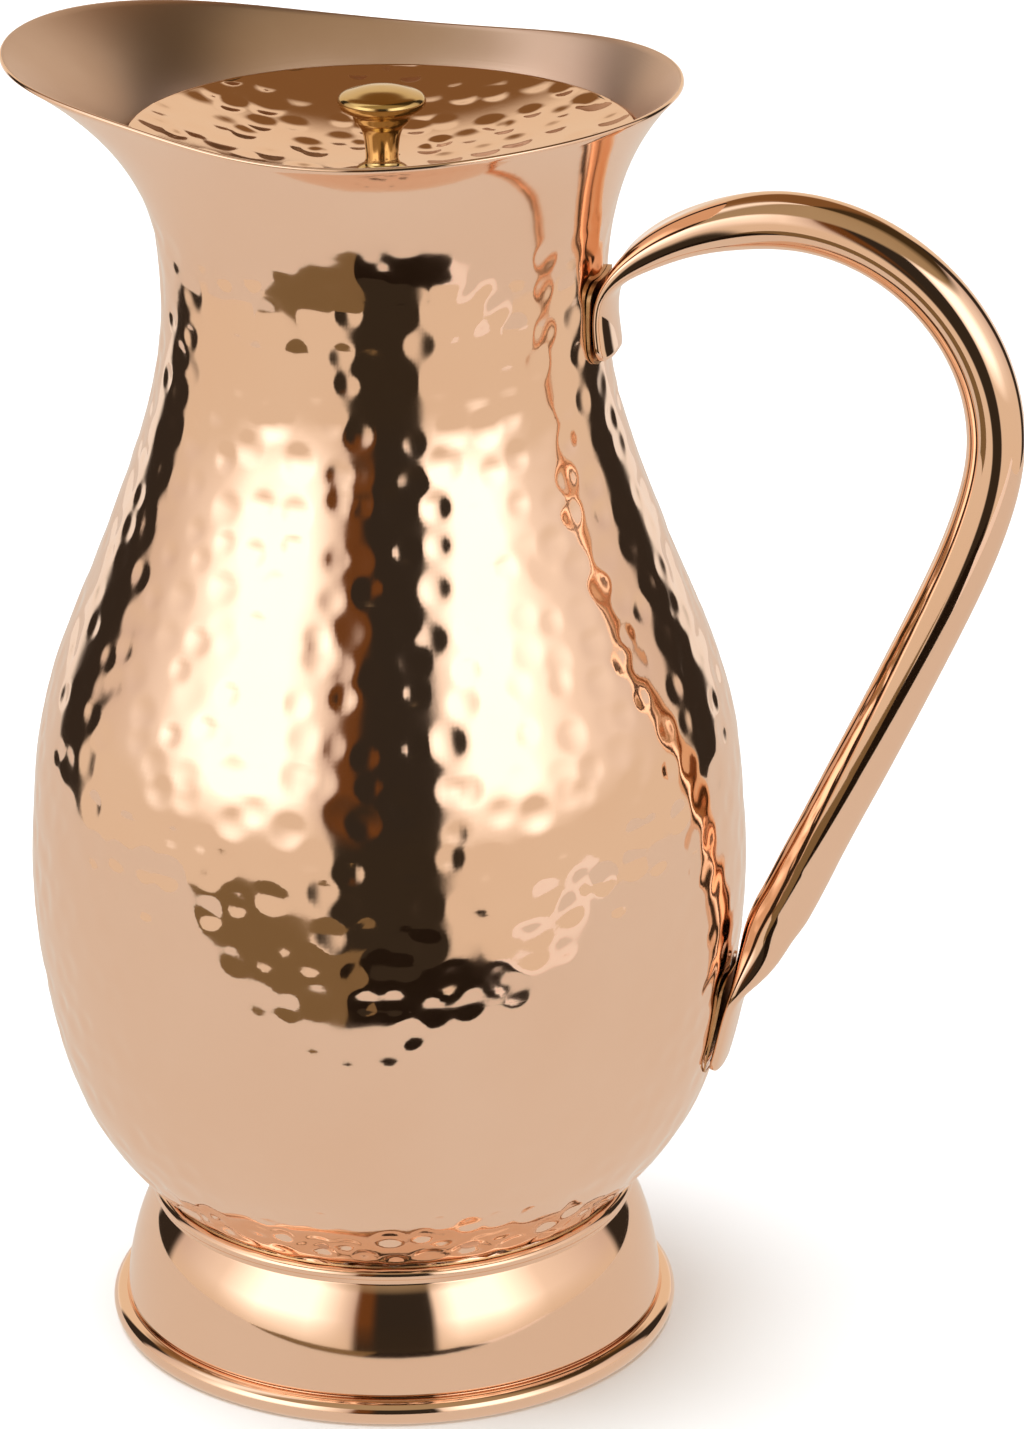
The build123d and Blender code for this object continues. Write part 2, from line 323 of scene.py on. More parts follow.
# ---- Upper shell ---------------------------------------------------------------------------------
# Shoulder, neck, flared mouth and lip, raised from one sheet of copper about a millimetre thick. It
# is hammered all over from outside and polished, but for a smooth band below the rim. The inside of
# the flare is left satin, with fine rings from the cleaning wheel.
MM = 0.001
SHEET = 0.95
SEAM_HEIGHT = 91.0
NECK_HEIGHT = 206.0
LIP_START = 216.0
LIP_TOP = 250.0
LIP_REACH = 9.2
LIP_HALF_ANGLE = math.radians(46.0)
SHELL_COLUMNS = 440
INNER_COLUMNS = 110
MARK_SHIFT = 0.34            # of a pitch, how far a mark may stand off its place
SIZE_SPREAD = 0.22
DEPTH_SPREAD = 0.45
FLARE_HEIGHTS = np.array([206.0, 213.0, 220.0, 227.0, 234.0, 241.0, 248.0, 256.0])
FLARE_RISE = (FLARE_HEIGHTS - NECK_HEIGHT) / 44.0
FLARE_RADII = 41.1 + 10.6 * FLARE_RISE**2 + 8.5 * FLARE_RISE**4
WALL_HEIGHTS = np.array([47.0, 60.0, 75.0, 91.0, 105.0, 120.0, 135.0, 150.0, 165.0, 180.0, 194.0])
WALL_RADII = np.array([59.4, 63.9, 66.7, 68.0, 67.6, 66.1, 62.2, 56.2, 50.4, 45.2, 42.0])


def spline_through(knots, values):
    """Natural cubic spline: returns a function whose second derivatives, found from the usual
    tridiagonal equations, are zero at both ends and continuous between."""
    gaps = np.diff(knots)
    rises = np.diff(values) / gaps
    inner = np.diag(2.0 * (gaps[:-1] + gaps[1:])) + np.diag(gaps[1:-1], 1) + np.diag(gaps[1:-1], -1)
    bends = np.zeros(len(knots))
    bends[1:-1] = np.linalg.solve(inner, 6.0 * np.diff(rises))

    def curve(x):
        i = np.clip(np.searchsorted(knots, x) - 1, 0, len(gaps) - 1)
        a = (knots[i + 1] - x) / gaps[i]
        b = (x - knots[i]) / gaps[i]
        swell = (a**3 - a) * bends[i] + (b**3 - b) * bends[i + 1]
        return a * values[i] + b * values[i + 1] + swell * gaps[i] ** 2 / 6.0

    return curve


wall_radius = spline_through(
    np.concatenate([WALL_HEIGHTS, FLARE_HEIGHTS]), np.concatenate([WALL_RADII, FLARE_RADII])
)


def rim_height(angle):
    """Height of the rim round the mouth from the lip: a short cosine series, highest at the lip."""
    return (
        245.3
        + 2.0 * np.cos(angle)
        + 2.57 * np.cos(2 * angle)
        + 0.43 * np.cos(3 * angle)
        - 0.27 * np.cos(4 * angle)
    )


def mouth_radius(height, angle):
    """Wall radius with the lip: the round wall plus a bulge around angle 0 that grows as height
    squared and falls off as exp of minus the fourth power of the angle."""
    from_lip = (angle + np.pi) % (2 * np.pi) - np.pi
    lift = np.maximum(height - LIP_START, 0.0) / (LIP_TOP - LIP_START)
    return wall_radius(height) + LIP_REACH * lift**2 * np.exp(-((from_lip / LIP_HALF_ANGLE) ** 4))


def run_along(heights, radii):
    """Distance along the wall from the seam, from the lengths of its short straight pieces."""
    run = np.concatenate([[0.0], np.cumsum(np.hypot(np.diff(heights), np.diff(radii)))])
    return run - np.interp(SEAM_HEIGHT, heights, run)


def hammer_marks(run, angle, radius, ring_radius, pitch, reach, depth, seed):
    """Depth of the hammer's marks. They stand in rings one pitch apart, each ring holding as many
    as fit at that pitch, and each is shifted and sized at random. ring_radius gives a ring's radius
    from its run. A mark of reach w is a dish, depth * (1 - (distance / w)^2)^1.5."""
    rng = np.random.default_rng(seed)
    rings, most_marks = 64, 128
    draws = rng.uniform(-1.0, 1.0, (rings, most_marks, 4))
    nearest = np.rint(run / pitch).astype(int)
    total = np.zeros(np.broadcast(run, angle, radius).shape)
    for ring_step in (-1, 0, 1):
        ring = nearest + ring_step
        row = (ring + rings // 2) % rings
        count = np.clip(np.rint(2 * np.pi * ring_radius(ring * pitch) / pitch), 3, most_marks - 1)
        stagger = 0.5 * (ring % 2)
        turn_number = angle * count / (2 * np.pi) - stagger
        for mark_step in (-1, 0, 1):
            mark = np.rint(turn_number) + mark_step
            draw = draws[row, np.mod(mark, count).astype(int)]
            mark_run = (ring + MARK_SHIFT * draw[..., 0]) * pitch
            mark_angle = (mark + stagger + MARK_SHIFT * draw[..., 1]) * 2 * np.pi / count
            square = (run - mark_run) ** 2 + (radius * (angle - mark_angle)) ** 2
            size = reach * (1.0 + SIZE_SPREAD * draw[..., 2])
            dish = np.clip(1.0 - square / size**2, 0.0, 1.0) ** 1.5
            total += depth * (1.0 + DEPTH_SPREAD * draw[..., 3]) * dish
    return total


def rows_of_quads(first, rows, columns):
    """Quads between rings of points that follow each other, facing out where rings run upwards."""
    row = np.arange(rows - 1)[:, None] * columns + first
    column = np.arange(columns)[None, :]
    after = (column + 1) % columns
    corners = (row + column, row + after, row + columns + after, row + columns + column)
    return np.stack(np.broadcast_arrays(*corners), -1).reshape(-1, 4)


def stitch(fine, coarse, ratio, columns, fine_first):
    """Joins a fine ring to a coarse one with one many-cornered face per coarse step."""
    step = np.arange(columns)[:, None]
    along = fine + (step * ratio + np.arange(ratio + 1)[None, :]) % (columns * ratio)
    ends = np.concatenate([coarse + step, coarse + (step + 1) % columns], 1)
    if fine_first:
        return np.concatenate([along, ends[:, ::-1]], 1)
    return np.concatenate([ends, along[:, ::-1]], 1)


def fan(centre, ring, columns, upwards):
    """Closes a ring of points with triangles to its centre."""
    here = ring + np.arange(columns)
    after = ring + (np.arange(columns) + 1) % columns
    middle = np.full(columns, centre)
    order = (here, after, middle) if upwards else (after, here, middle)
    return np.stack(order, -1)


def piece(name, points, groups, body, nodes):
    """Makes one mesh in the row frame from points in mm and (faces, material, smooth) groups, puts
    it in place of its CAD nodes and lets it ride on their body."""
    mesh = bpy.data.meshes.new(name)
    faces = [face for group, _, _ in groups for face in group.tolist()]
    mesh.from_pydata(points * MM, [], faces)
    finishes = []
    for _, material, _ in groups:
        if material not in finishes:
            finishes.append(material)
            mesh.materials.append(material)
    numbers = np.concatenate([np.full(len(group), finishes.index(m)) for group, m, _ in groups])
    smooth = np.concatenate([np.full(len(group), rounded) for group, _, rounded in groups])
    mesh.polygons.foreach_set("material_index", numbers.astype(np.int32))
    mesh.polygons.foreach_set("use_smooth", smooth)
    mesh.validate()
    made = bpy.data.objects.new(name, mesh)
    bpy.context.collection.objects.link(made)
    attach(made, body)
    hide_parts(*nodes)
    return made


def ring_points(radius, height, angle):
    """Points at a radius, a height and an angle from the lip, which points along -X."""
    radius, height, angle = np.broadcast_arrays(radius, height, angle)
    return np.stack([-radius * np.cos(angle), -radius * np.sin(angle), height], -1).reshape(-1, 3)


MARK_PITCH = 7.0
MARK_REACH = 3.3
MARK_DEPTH = 0.2
FACET_PITCH = 16.0
FACET_REACH = 12.0
FACET_DEPTH = 0.14
table_heights = np.linspace(47.0, 256.0, 400)
table_radii = wall_radius(table_heights)
table_run = run_along(table_heights, table_radii)


def mark_radius(run):
    """Wall radius at a distance along the wall from the seam."""
    return np.interp(run, table_run, table_radii)


def small_marks(run, angle, radius):
    """The small deep marks of the planishing hammer."""
    return hammer_marks(run, angle, radius, mark_radius, MARK_PITCH, MARK_REACH, MARK_DEPTH, 11)


def broad_facets(run, angle, radius):
    """The broad shallow facets left from raising the sheet, under the small marks."""
    return hammer_marks(
        run, angle, radius, mark_radius, FACET_PITCH, FACET_REACH, FACET_DEPTH, 23
    )


def polished_metal(name, tone, deep_tone, roughness, patch, grain, grain_height):
    """Polished sheet metal: colour drifts between two tones in patches, roughness drifts with it,
    and a very fine unevenness from the buffing wheel softens what it mirrors. Sizes in mm."""
    made = bpy.data.materials.new(name)
    made.use_nodes = True
    tree = made.node_tree
    shader = tree.nodes["Principled BSDF"]
    shader.inputs["Metallic"].default_value = 1.0
    where = add(tree, "TexCoord")
    place = (where, "Object")
    drift = add(tree, "TexNoise", {"Vector": place, "Scale": 1.0 / (patch * MM), "Detail": 3.0})
    tint = add(tree, "Mix", {0: drift, 6: linear(tone), 7: linear(deep_tone)}, data_type="RGBA")
    tree.links.new(tint.outputs[2], shader.inputs["Base Color"])
    haze = add(
        tree,
        "MapRange",
        {
            "Value": (drift, "Fac"),
            "From Min": 0.3,
            "From Max": 0.7,
            "To Min": roughness * 0.75,
            "To Max": roughness * 1.3,
        },
    )
    tree.links.new(haze.outputs[0], shader.inputs["Roughness"])
    buffing = add(tree, "TexNoise", {"Vector": place, "Scale": 1.0 / (grain * MM), "Detail": 2.0})
    height = (buffing, "Fac")
    uneven = add(tree, "Bump", {"Height": height, "Distance": grain_height * MM, "Strength": 1.0})
    tree.links.new(uneven.outputs[0], shader.inputs["Normal"])
    return made


def satin_metal(name, tone, deep_tone, roughness, patch, line, line_height):
    """Sheet metal cleaned with a wheel while it turned: fine rings round the jug's axis, which
    spread a highlight across them. The rings follow height plus distance from the axis."""
    made = bpy.data.materials.new(name)
    made.use_nodes = True
    tree = made.node_tree
    shader = tree.nodes["Principled BSDF"]
    shader.inputs["Metallic"].default_value = 1.0
    shader.inputs["Roughness"].default_value = roughness
    shader.inputs["Anisotropic"].default_value = 0.55
    where = add(tree, "TexCoord")
    apart = add(tree, "SeparateXYZ", {"Vector": (where, "Object")})
    flat = add(tree, "CombineXYZ", {"X": (apart, "X"), "Y": (apart, "Y")})
    out = add(tree, "VectorMath", {0: flat}, operation="LENGTH")
    along = add(tree, "Math", {0: (out, "Value"), 1: (apart, "Z")}, operation="ADD")
    ring_sockets = {"W": along, "Scale": 1.0 / (line * MM), "Detail": 4.0}
    rings = add(tree, "TexNoise", ring_sockets, noise_dimensions="1D")
    cloud_sockets = {"Vector": (where, "Object"), "Scale": 1.0 / (patch * MM), "Detail": 4.0}
    drift = add(tree, "TexNoise", cloud_sockets)
    tint = add(tree, "Mix", {0: drift, 6: linear(tone), 7: linear(deep_tone)}, data_type="RGBA")
    tree.links.new(tint.outputs[2], shader.inputs["Base Color"])
    height = (rings, "Fac")
    uneven = add(tree, "Bump", {"Height": height, "Distance": line_height * MM, "Strength": 1.0})
    tree.links.new(uneven.outputs[0], shader.inputs["Normal"])
    grain_way = add(tree, "Tangent", direction_type="RADIAL", axis="Z")
    tree.links.new(grain_way.outputs[0], shader.inputs["Tangent"])
    return made


# Copper, planished with a hammer and buffed: a warm mirror, broken up by the marks' own shapes.
# Its colour drifts in patches 40 mm across, and the buffing leaves a haze 2 mm across.
hammered_copper = polished_metal("hammered_copper", "#f8dac4", "#f3ceb3", 0.07, 40.0, 2.2, 0.004)
# The same copper scoured while it turned: dull, with its highlights drawn out across rings half a
# millimetre apart, which is coarser than real scouring so that it shows.
satin_copper = satin_metal("satin_copper", "#e9cfc0", "#d6b49e", 0.33, 22.0, 0.5, 0.01)

angle = np.arange(SHELL_COLUMNS)[None, :] * 2 * np.pi / SHELL_COLUMNS
inner_angle = np.arange(INNER_COLUMNS)[None, :] * 2 * np.pi / INNER_COLUMNS
RATIO = SHELL_COLUMNS // INNER_COLUMNS
MARKS_END = 228.0
MARKS_FADE = 9.0
SMOOTH_SHARE = 0.88          # of the way from the seam to the rim
TUCK_SHARE = 0.002           # the edge runs this share of the way on below the seam
TUCK_DEPTH = 0.012           # each shell's edge slips this far inside the other at the seam


def wall_points(share, angle, depth_in):
    """Points of the wall at a share of the way from the seam to the rim, moved inwards along the
    wall's normal by depth_in, and the height and radius they came from."""
    height = SEAM_HEIGHT + (rim_height(angle) - SEAM_HEIGHT) * share
    radius = mouth_radius(height, angle)
    slope = (mouth_radius(height + 0.2, angle) - mouth_radius(height - 0.2, angle)) / 0.4
    length = np.hypot(1.0, slope)
    return radius - depth_in / length, height + depth_in * slope / length, height, radius


fine_steps = np.array([-TUCK_SHARE, 0.0, 0.0005, 0.001])
hammered_steps = np.linspace(0.004, SMOOTH_SHARE, 160)
smooth_steps = np.linspace(SMOOTH_SHARE, 1.0, 22)[1:]
outer_share = np.concatenate([fine_steps, hammered_steps, smooth_steps])[:, None]
_, _, height, radius = wall_points(outer_share, angle, 0.0)
run = np.interp(height, table_heights, table_run)
fade = np.clip((MARKS_END - height) / MARKS_FADE, 0.0, 1.0)
dent = small_marks(run, angle, radius) * fade * fade * (3.0 - 2.0 * fade)
dent = dent + broad_facets(run, angle, radius) * (0.35 + 0.65 * fade)
dent = dent + TUCK_DEPTH * (outer_share < 0.0)
r_out, z_out, _, _ = wall_points(outer_share, angle, dent)
lip_turn = np.linspace(0.0, np.pi, 6)[1:-1, None]
r_mid, z_mid, _, _ = wall_points(np.array([[1.0]]), angle, SHEET / 2)
r_edge, z_edge, _, _ = wall_points(np.array([[1.0]]), angle, 0.0)
normal_r, normal_z = (r_edge - r_mid) * 2 / SHEET, (z_edge - z_mid) * 2 / SHEET
lip_r = r_mid + SHEET / 2 * (normal_r * np.cos(lip_turn) - normal_z * np.sin(lip_turn))
lip_z = z_mid + SHEET / 2 * (normal_z * np.cos(lip_turn) + normal_r * np.sin(lip_turn))
inner_share = np.concatenate([np.linspace(1.0, 0.84, 34), np.linspace(0.84, 0.0, 40)[1:]])[:, None]
r_in, z_in, _, _ = wall_points(inner_share, inner_angle, SHEET)

fine_rows = len(outer_share) + len(lip_turn)
inner_first = fine_rows * SHELL_COLUMNS
inner_last = inner_first + (len(inner_share) - 1) * INNER_COLUMNS
shell_points = np.concatenate(
    [
        ring_points(r_out, z_out, angle),
        ring_points(lip_r, lip_z, angle),
        ring_points(r_in, z_in, inner_angle),
    ]
)
lip_stitch = stitch(inner_first - SHELL_COLUMNS, inner_first, RATIO, INNER_COLUMNS, True)
piece(
    "hammered_upper_shell",
    shell_points,
    [
        (rows_of_quads(0, fine_rows, SHELL_COLUMNS), hammered_copper, True),
        (lip_stitch, satin_copper, False),
        (rows_of_quads(inner_first, len(inner_share), INNER_COLUMNS), satin_copper, True),
        (stitch(0, inner_last, RATIO, INNER_COLUMNS, False), satin_copper, False),
    ],
    "jug",
    ["upper_shell"],
)

# ---- Lower shell ---------------------------------------------------------------------------------
# The bowl of the belly with the jug's floor, raised from a second sheet, brazed to the upper one
# and hammered over so that the joint doesn't show.
BOWL_RADII = np.array([0.0, 16.0, 31.0, 38.6, 44.1, 52.2, 59.4, 63.9, 66.7, 68.0, 67.6, 66.1])
BOWL_HEIGHTS = np.array([23.0, 23.0, 23.4, 25.0, 28.0, 36.0, 47.0, 60.0, 75.0, 91.0, 105.0, 120.0])
chord = np.concatenate([[0.0], np.cumsum(np.hypot(np.diff(BOWL_RADII), np.diff(BOWL_HEIGHTS)))])
bowl_radius = spline_through(chord, BOWL_RADII)
bowl_height = spline_through(chord, BOWL_HEIGHTS)
SEAM_CHORD = chord[9]
COLLAR_CHORD = chord[4] - 1.5
DEEPER = 3.6                 # the marks just above the foot are this much deeper
DEEPER_HEIGHTS = (36.0, 42.0)


def bowl_points(along, depth_in):
    """Points of the bowl at a distance along its outline, moved inwards along its normal."""
    toward_r = (bowl_radius(along + 0.1) - bowl_radius(along - 0.1)) / 0.2
    toward_z = (bowl_height(along + 0.1) - bowl_height(along - 0.1)) / 0.2
    length = np.hypot(toward_r, toward_z)
    r = bowl_radius(along) - depth_in * toward_z / length
    z = bowl_height(along) + depth_in * toward_r / length
    return r, z


under = np.linspace(4.0, COLLAR_CHORD, 14)[:, None]
tuck_steps = np.array([-0.16, -0.08, 0.0, 0.3])
shown = np.linspace(COLLAR_CHORD, SEAM_CHORD - 0.6, 90)
shown = np.concatenate([shown, SEAM_CHORD + tuck_steps])[:, None]
inside = np.concatenate([np.linspace(SEAM_CHORD, 30.0, 46), np.linspace(30.0, 4.0, 7)[1:]])[:, None]
deeper = np.interp(bowl_height(shown), DEEPER_HEIGHTS, (DEEPER, 1.0))
bowl_dent = small_marks(shown - SEAM_CHORD, angle, bowl_radius(shown)) * deeper
bowl_dent = bowl_dent + broad_facets(shown - SEAM_CHORD, angle, bowl_radius(shown))
bowl_dent = bowl_dent + TUCK_DEPTH * (shown > SEAM_CHORD)
r_under, z_under = bowl_points(under, 0.0)
r_shown, z_shown = bowl_points(shown, bowl_dent)
r_inside, z_inside = bowl_points(inside, SHEET)
shown_first = 1 + len(under) * INNER_COLUMNS
inside_first = shown_first + len(shown) * SHELL_COLUMNS
floor_pole = inside_first + len(inside) * INNER_COLUMNS
bowl = np.concatenate(
    [
        [[0.0, 0.0, BOWL_HEIGHTS[0]]],
        ring_points(r_under, z_under, inner_angle),
        ring_points(r_shown, z_shown, angle),
        ring_points(r_inside, z_inside, inner_angle),
        [[0.0, 0.0, BOWL_HEIGHTS[0] + SHEET]],
    ]
)
collar_stitch = stitch(shown_first, shown_first - INNER_COLUMNS, RATIO, INNER_COLUMNS, False)
seam_stitch = stitch(inside_first - SHELL_COLUMNS, inside_first, RATIO, INNER_COLUMNS, True)
piece(
    "hammered_lower_shell",
    bowl,
    [
        (fan(0, 1, INNER_COLUMNS, False), satin_copper, True),
        (rows_of_quads(1, len(under), INNER_COLUMNS), satin_copper, True),
        (collar_stitch, hammered_copper, False),
        (rows_of_quads(shown_first, len(shown), SHELL_COLUMNS), hammered_copper, True),
        (seam_stitch, satin_copper, False),
        (rows_of_quads(inside_first, len(inside), INNER_COLUMNS), satin_copper, True),
        (fan(floor_pole, floor_pole - INNER_COLUMNS, INNER_COLUMNS, True), satin_copper, True),
    ],
    "jug",
    ["lower_shell"],
)

# ---- Foot ring -----------------------------------------------------------------------------------
# Spun from sheet copper on a lathe and polished: a hemmed collar grips the bowl, the side swells
# out and tucks under, and the bottom edge is rolled into a bead, lapped flat where it stands.
FOOT_COLUMNS = 256
BEAD_CENTRE = (52.6, 2.2)
BEAD_RADIUS = 2.4
COLLAR_CENTRE = (45.6, 27.2)
COLLAR_RADIUS = 1.3
SIDE_HEIGHTS = np.array([5.3, 8.0, 12.0, 17.0, 20.0, 22.2, 24.0, 25.6])
SIDE_RADII = np.array([52.3, 51.9, 51.2, 50.0, 49.0, 48.0, 47.0, 46.0])


def arc(centre, radius, start, end, count):
    """Points of a round stretch of an outline, between two angles in degrees."""
    turn = np.radians(np.linspace(start, end, count))
    return np.stack([centre[0] + radius * np.cos(turn), centre[1] + radius * np.sin(turn)], 1)


def bowed(start, end, bow, count):
    """Points of a shallow bow: a parabola from start to end that stands out by bow midway."""
    share = np.linspace(0.0, 1.0, count)[:, None]
    start, end = np.array(start), np.array(end)
    along = (end - start) / np.hypot(*(end - start))
    aside = np.array([along[1], -along[0]])
    return start + (end - start) * share + aside * bow * 4.0 * share * (1.0 - share)


def turned(outline, columns):
    """Faces and points of a closed outline of (radius, height) turned round the axis."""
    turn = np.arange(columns)[None, :] * 2 * np.pi / columns
    closed = np.concatenate([outline, outline[:1]])
    points = ring_points(closed[:-1, :1], closed[:-1, 1:], turn)
    faces = rows_of_quads(0, len(outline), columns)
    column = np.arange(columns)
    last = (len(outline) - 1) * columns
    after = (column + 1) % columns
    joint = np.stack([last + column, last + after, after, column], 1)
    return points, np.concatenate([faces, joint])


flat_half = math.degrees(math.asin(BEAD_CENTRE[1] / BEAD_RADIUS))
bead = arc(BEAD_CENTRE, BEAD_RADIUS, -flat_half, 122.0, 40)
side_run = spline_through(SIDE_HEIGHTS, SIDE_RADII)
side_height = np.linspace(SIDE_HEIGHTS[0], SIDE_HEIGHTS[-1], 60)
side = np.stack([side_run(side_height), side_height], 1)
tuck = bowed(bead[-1] + (-0.12, 0.12), side[0] + (-0.25, -0.3), 0.1, 6)
collar = arc(COLLAR_CENTRE, COLLAR_RADIUS, -20.0, 200.0, 30)
back = bowed((45.25, 25.6), (50.45, 6.4), -1.05, 20)
heel = arc(BEAD_CENTRE, BEAD_RADIUS, 160.0, 180.0 + flat_half, 16)
foot_outline = np.concatenate([bead, tuck, side, collar, back, heel])
foot_points, foot_faces = turned(foot_outline, FOOT_COLUMNS)
# Copper that was spun or drawn and then buffed smooth: the clearest mirror on the jug, very
# slightly clouded, with no marks.
polished_copper = polished_metal("polished_copper", "#f8d8c0", "#f2cbae", 0.05, 60.0, 3.0, 0.0015)
piece(
    "spun_foot",
    foot_points,
    [(foot_faces, polished_copper, True)],
    "jug",
    ["foot_ring"],
)

# ---- Handle --------------------------------------------------------------------------------------
# One copper tube, 10.6 mm across, bent over a former to a loop. Its ends are pressed flat, creased
# where the flattening starts, dressed to the curve of the wall and brazed on.
TUBE_RADIUS = 5.3
TAB_HALF_WIDTH = 8.3
TAB_HALF_THICKNESS = 1.1
WIDENING = 1.6               # the higher, the later the pressed tube widens
FLAT_POWER, ROUND_POWER = 3.4, 2.0    # of the oval section: |x/a|^n + |y/b|^n = 1
CREASE_DEPTH = 0.12
CREASE_HALF = 2.6
HANDLE_AROUND = 72
HANDLE_ALONG = 420
HANDLE_SHAPE = np.array(
    [  # x, z and half thickness along the handle, from the tip of the upper tab
        (43.3, 196.8, 1.1),
        (42.5, 203.0, 1.1),
        (43.1, 208.8, 1.1),
        (45.2, 212.6, 1.8),
        (49.8, 216.6, 3.1),
        (57.0, 220.4, 4.2),
        (65.5, 222.9, 5.0),
        (74.6, 223.9, 5.3),
        (91.0, 220.1, 5.3),
        (103.8, 210.5, 5.3),
        (111.7, 197.6, 5.3),
        (114.1, 183.5, 5.3),
        (111.9, 170.8, 5.3),
        (103.6, 149.1, 5.3),
        (90.2, 119.8, 5.3),
        (80.8, 99.6, 5.3),
        (76.3, 90.0, 5.3),
        (74.1, 85.6, 5.0),
        (72.6, 81.6, 4.4),
        (70.7, 77.4, 3.0),
        (68.9, 73.6, 1.5),
        (67.6, 69.6, 1.1),
        (66.2, 63.4, 1.1),
        (64.8, 57.8, 1.1),
    ]
)
handle_steps = np.hypot(*np.diff(HANDLE_SHAPE[:, :2], axis=0).T)
handle_run = np.concatenate([[0.0], np.cumsum(handle_steps)])
handle_x = spline_through(handle_run, HANDLE_SHAPE[:, 0])
handle_z = spline_through(handle_run, HANDLE_SHAPE[:, 1])
HANDLE_LENGTH = handle_run[-1]


def smooth_step(low, high, x):
    """0 below low, 1 above high, and 3t^2 - 2t^3 between."""
    t = np.clip((x - low) / (high - low), 0.0, 1.0)
    return t * t * (3.0 - 2.0 * t)


end_room = 0.02
along_handle = np.linspace(end_room, HANDLE_LENGTH - end_room, HANDLE_ALONG)[:, None]
around_tube = -np.arange(HANDLE_AROUND)[None, :] * 2 * np.pi / HANDLE_AROUND  # faces look outwards
thick_here = spline_through(handle_run, HANDLE_SHAPE[:, 2])(along_handle)
thinned = (thick_here - TAB_HALF_THICKNESS) / (TUBE_RADIUS - TAB_HALF_THICKNESS)
roundness = np.clip(thinned, 0.0, 1.0)
from_end = np.minimum(along_handle, HANDLE_LENGTH - along_handle)
CORNER = 3.2
past_corner = np.clip(CORNER - from_end, 0.0, CORNER)
corner = CORNER - np.sqrt(np.maximum(CORNER**2 - past_corner**2, 0.0))
widened = 1.0 - roundness**WIDENING
half_width = TUBE_RADIUS + (TAB_HALF_WIDTH - TUBE_RADIUS) * widened - corner
EDGE_ROUND = 0.7
past_edge = np.clip(EDGE_ROUND - from_end, 0.0, EDGE_ROUND)
edge = EDGE_ROUND - np.sqrt(np.maximum(EDGE_ROUND**2 - past_edge**2, 0.0))
half_thick = TAB_HALF_THICKNESS + (TUBE_RADIUS - TAB_HALF_THICKNESS) * roundness - edge
power = 2.0 / (FLAT_POWER + (ROUND_POWER - FLAT_POWER) * roundness)
across = half_width * np.sign(np.cos(around_tube)) * np.abs(np.cos(around_tube)) ** power
outward = half_thick * np.sign(np.sin(around_tube)) * np.abs(np.sin(around_tube)) ** power
crease = 4.0 * roundness * (1.0 - roundness)
outward = outward * (1.0 - CREASE_DEPTH * crease * np.exp(-((across / CREASE_HALF) ** 2)))
centre_x, centre_z = handle_x(along_handle), handle_z(along_handle)
way_x = (handle_x(along_handle + 0.1) - handle_x(along_handle - 0.1)) / 0.2
way_z = (handle_z(along_handle + 0.1) - handle_z(along_handle - 0.1)) / 0.2
way = np.hypot(way_x, way_z)
bowl_here = np.interp(centre_z, BOWL_HEIGHTS, BOWL_RADII)
wall_here = np.where(centre_z > SEAM_HEIGHT, wall_radius(centre_z), bowl_here)
wrap = (wall_here - np.sqrt(wall_here**2 - across**2)) * (1.0 - roundness)
handle_points = np.stack(
    [
        centre_x + outward * way_z / way - wrap,
        across,
        centre_z - outward * way_x / way,
    ],
    -1,
).reshape(-1, 3)
cap_ring = np.arange(HANDLE_AROUND)[None, :]
handle_last = (HANDLE_ALONG - 1) * HANDLE_AROUND
piece(
    "tube_handle",
    handle_points,
    [
        (rows_of_quads(0, HANDLE_ALONG, HANDLE_AROUND), polished_copper, True),
        (cap_ring[:, ::-1], polished_copper, False),
        (handle_last + cap_ring, polished_copper, False),
    ],
    "jug",
    ["handle"],
)

# ---- Lid pan -------------------------------------------------------------------------------------
# A disc of sheet copper, dished and hammered in rings, with its edge rounded over. It drops into
# the mouth and rests on the flare.
LID_RADIUS = 46.4
LID_EDGE_HEIGHT = 236.6
LID_DISH = 8.6
LID_SHEET = 0.9
LID_FLOOR = LID_EDGE_HEIGHT - LID_DISH
LID_COLUMNS = 300
LID_SEAT = 5.2
LID_CURVE = 1.75
LID_MARK_PITCH = 7.4
LID_MARK_REACH = 3.2
LID_MARK_DEPTH = 0.28


def dish_height(radius):
    """Top of the pan: flat in the middle, then rising as a power of the distance outwards."""
    share = np.clip((radius - LID_SEAT) / (LID_RADIUS - LID_SEAT), 0.0, 1.0)
    return LID_FLOOR + LID_DISH * share**LID_CURVE


def lid_marks(radius, angle):
    """The hammer's marks on the pan, in rings round its middle, a ring's radius being its run."""
    return hammer_marks(
        radius, angle, radius, np.abs, LID_MARK_PITCH, LID_MARK_REACH, LID_MARK_DEPTH, 5
    )


